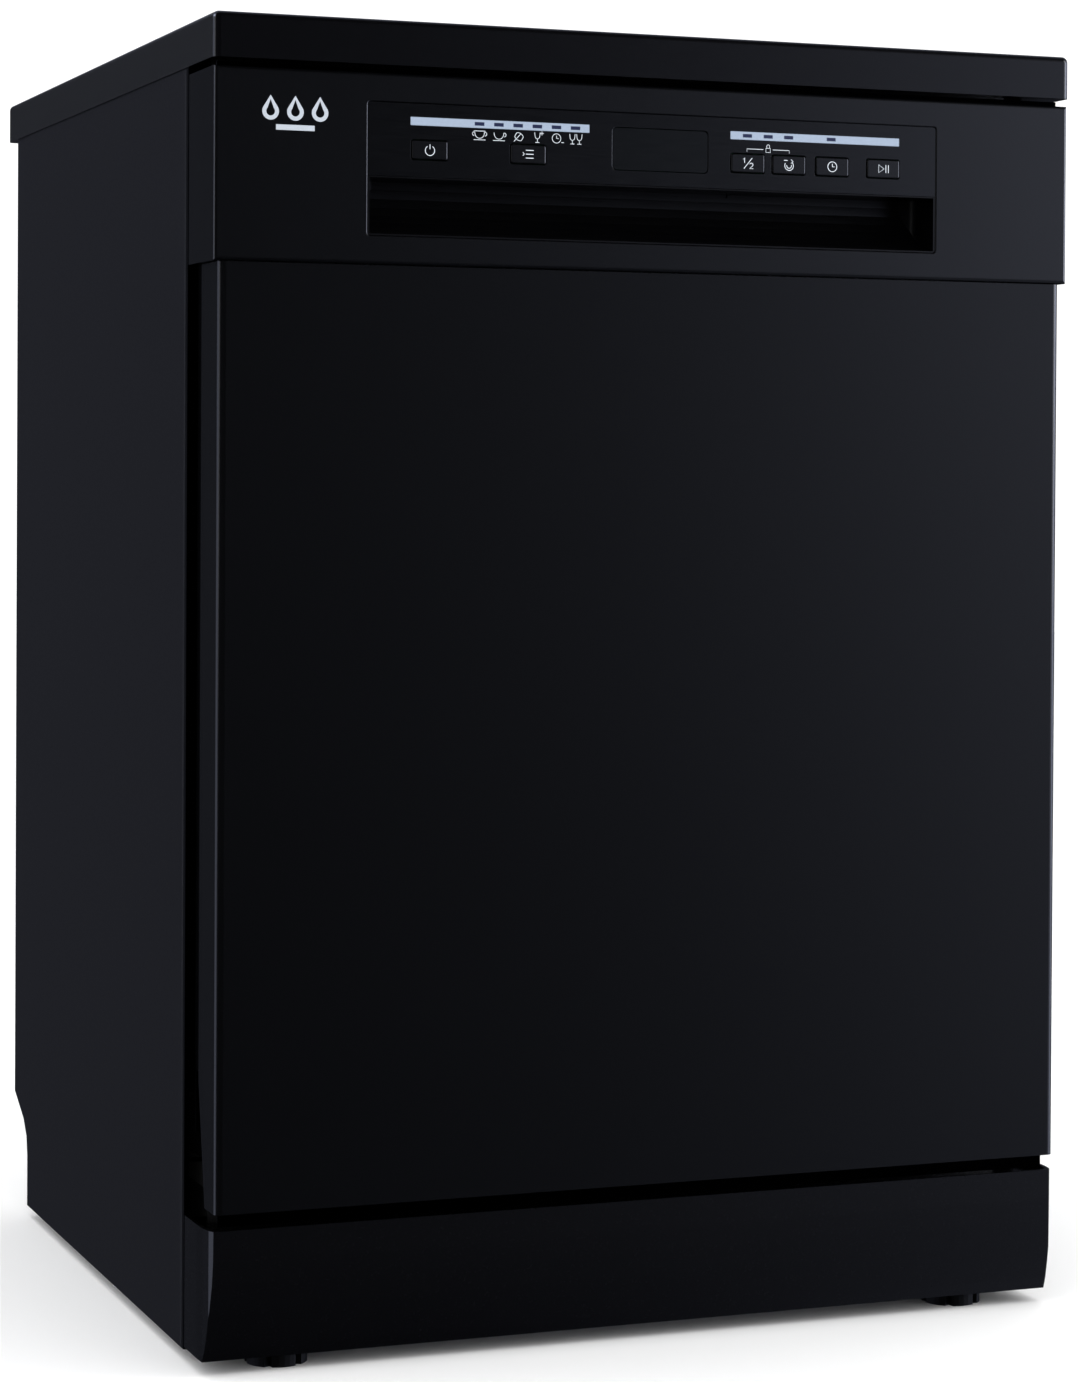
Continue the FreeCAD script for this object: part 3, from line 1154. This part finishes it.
def coil_spring(sign):
    """A close-wound tension spring that lies along the base beside the tub."""
    coil, wire, turns, pitch = 5.0, 1.0, 34, 2.9
    helix = Part.makeHelix(pitch, pitch * turns, coil)
    circle = Part.Wire(Part.makeCircle(wire, Vector(coil, 0, 0), Vector(0, 1, 0)))
    spring = Part.Wire(helix.Edges).makePipeShell([circle], True, True)
    start = Vector(sign * (float(s.base_half) - 14), -170, 66)
    spring.Placement = Placement(start, Rotation(Vector(1, 0, 0), -90))
    return spring


# ---------------------------------------------------------------- racks

def lattice(name, plane, at, u_span, v_span, u_count, v_count, radius):
    """A flat welded grid: bars along both ways of a plane, as one solid."""
    (u0, u1), (v0, v1) = u_span, v_span

    def spot(u, v):
        return {"x": (at, u, v), "y": (u, at, v), "z": (u, v, at)}[plane]

    bars = []
    for i in range(u_count + 1):
        u = u0 + (u1 - u0) * i / u_count
        bars.append((spot(u - radius, v0 - radius), spot(u + radius, v1 + radius), radius))
    for i in range(v_count + 1):
        v = v0 + (v1 - v0) * i / v_count
        bars.append((spot(u0 - radius, v - radius), spot(u1 + radius, v + radius), radius * 0.9))
    normal = AXES[plane][1]
    pieces = []
    for low, high, thick in bars:
        low, high = Vector(*low) - normal * thick, Vector(*high) + normal * thick
        size = high - low
        pieces.append(Part.makeBox(size.x, size.y, size.z, low))
    grid = doc.addObject("Part::Feature", name)
    grid.Shape = pieces[0].multiFuse(pieces[1:]).removeSplitter()
    return grid


def rack(name, floor, rim, axle_y, axle_z, axle_reach):
    """A wire rack as five flat grids: a floor and four walls that stand on it, with axle stubs."""
    r = float(s.wire_radius)
    half, reach, mid = float(s.rack_half), float(s.rack_reach), float(s.hub_y)
    floor, rim = float(floor), float(rim)
    y0, y1 = mid - reach, mid + reach - 12
    plate_thick, plate_wide, stub_radius = 3.0, 17.0, 2.4
    made = [lattice(f"{name}_floor", "z", floor, (-half, half), (y0, y1), 12, 9, r)]
    foot = floor + 2 * r
    low, high = min(axle_z - 6, foot), max(axle_z + 6, foot + 20)
    for side, sign in SIDES:
        wall = lattice(f"{name}_wall_{side}", "x", sign * half, (y0 + 2 * r, y1 - 2 * r), (foot, rim), 10, 2, r)
        face = sign * (half + r + 1)
        for y in axle_y:
            corner = Vector(face - plate_thick / 2, y - plate_wide / 2, low)
            plate = Part.makeBox(plate_thick, plate_wide, high - low, corner)
            axle = Vector(face, y, axle_z)
            stub = Part.makeCylinder(stub_radius, axle_reach - r - 1, axle, Vector(sign, 0, 0))
            wall.Shape = wall.Shape.multiFuse([plate, stub]).removeSplitter()
        made.append(wall)
    made.append(lattice(f"{name}_front", "y", y0, (-half, half), (foot, rim), 12, 2, r))
    made.append(lattice(f"{name}_rear", "y", y1, (-half, half), (foot, rim), 12, 2, r))
    keep(name, group(f"{name}_group", *made))


def wheel_pair(name, radius, inside, wide, y, z):
    """Two coaxial wheels, left and right, on the rack's stubs."""
    bore = 2.46
    made = []
    for side, sign in SIDES:
        x = both_ways(inside, inside + wide, sign)
        tyre = rod(f"{name}_{side}_tyre", radius, "x", x, (y, z))
        hub = rod(f"{name}_{side}_hub", bore + 2.5, "x", x, (y, z))
        groove = rod(f"{name}_{side}_groove", radius * 0.78, "x",
                     both_ways(inside + wide - 1.5, inside + wide + 1, sign), (y, z))
        hole = rod(f"{name}_{side}_hole", bore, "x", both_ways(inside - 1, inside + wide + 1, sign), (y, z))
        disc = cut(f"{name}_{side}_disc", tyre, groove)
        made.append(cut(f"{name}_{side}", join(f"{name}_{side}_blank", disc, hub), hole))
    keep(name, group(f"{name}_group", *made))


def make_racks():
    """The lower and the upper rack with their wheels, and the upper arm's pipe."""
    axle_z = float(s.ledge_high + s.wheel_radius) + 0.05
    rack("lower_rack", s.lower_floor, s.lower_rim, LOWER_WHEEL_Y, axle_z, 19.0)
    for tag, y in zip(("front", "rear"), LOWER_WHEEL_Y):
        wheel_pair(f"lower_wheels_{tag}", s.wheel_radius, 262.0, 8.0, y, axle_z)
    roller_z = float(s.rail_high) - 0.35
    rack("upper_rack", s.upper_floor, s.upper_rim, UPPER_ROLLER_Y, roller_z, 20.0)
    for tag, y in zip(("front", "rear"), UPPER_ROLLER_Y):
        wheel_pair(f"upper_rollers_{tag}", s.roller_radius, 268.2, 6.0, y, roller_z)

    pipe_z = s.upper_arm_low + 30
    back = TUB_REAR - s.tub_wall - 26
    pipe = [
        rod("upper_pipe_run", 8.0, "y", (s.hub_y, back - 1), (0, pipe_z)),
        rod("upper_pipe_post", s.post_radius, "z", (s.upper_arm_low + 4, pipe_z), (0, s.hub_y)),
        rod("upper_pipe_collar", 14.0, "z", (s.upper_arm_low + 18, pipe_z), (0, s.hub_y)),
    ]
    bore = rod("upper_pipe_bore", 5.5, "y", (s.hub_y + 10, back), (0, pipe_z))
    keep("upper_feed_pipe", cut("upper_pipe_cut", join("upper_pipe_joined", *pipe), bore))


def make_cutlery_basket():
    """The open basket at the lower rack's front: a floor, four walls and two dividers."""
    half, deep, tall, wall = 114.0, 70.0, 118.0, 2.2
    front = s.hub_y - s.rack_reach + 8
    low = s.lower_floor + 3
    whole_x, whole_y, whole_z = (-half, half), (front, front + deep), (low, low + tall)
    walls = [
        block("cutlery_floor", whole_x, whole_y, (low, low + wall)),
        block("cutlery_front", whole_x, (front, front + wall), whole_z),
        block("cutlery_rear", whole_x, (front + deep - wall, front + deep), whole_z),
    ]
    for i, x in enumerate((-half, -39.0, 37.0, half - wall)):
        walls.append(block(f"cutlery_wall_{i}", (x, x + wall), whole_y, whole_z))
    keep("cutlery_basket", join("cutlery_joined", *walls))


# ---------------------------------------------------------------- build and export

make_worktop()
for panel_side, panel_sign in SIDES:
    make_side_panel(panel_side, panel_sign)
make_rear_panel()
make_cabinet_screws()
make_plinth()
make_base_tray()
make_feet()
make_tub()
make_top_crossbar()
make_gasket()
make_rack_rails()
make_sump()
make_filter_plate()
make_filter_cup()
make_spray_arms()
make_feed_pipe()
make_pumps()
make_softener()
make_salt_cap()
make_rear_fittings()
make_door_outer_panel()
make_door_liner()
make_fascia()
make_control_strip()
make_display_and_indicators()
make_buttons()
make_handle_pocket()
make_latch()
make_control_board()
make_dispenser()
make_hinges()
make_racks()
make_cutlery_basket()
doc.recompute()

for item in doc.Objects:
    if "Invalid" in item.State or "Error" in item.State:
        raise RuntimeError(f"{item.Name} failed: {item.State}")
for label, part in parts.items():
    if part.Shape.isNull() or not part.Shape.isValid():
        raise RuntimeError(f"{label} has no valid shape")

os.makedirs("parts", exist_ok=True)
for label, part in parts.items():
    part.Shape.exportStep(f"parts/{label}.step")
    box = part.Shape.BoundBox
    spans = ((box.XMin, box.XMax), (box.YMin, box.YMax), (box.ZMin, box.ZMax))
    print(f"{label:22s}{len(part.Shape.Solids):3d}", *(f"{low:8.1f}{high:8.1f}" for low, high in spans))
print(len(parts), "parts")
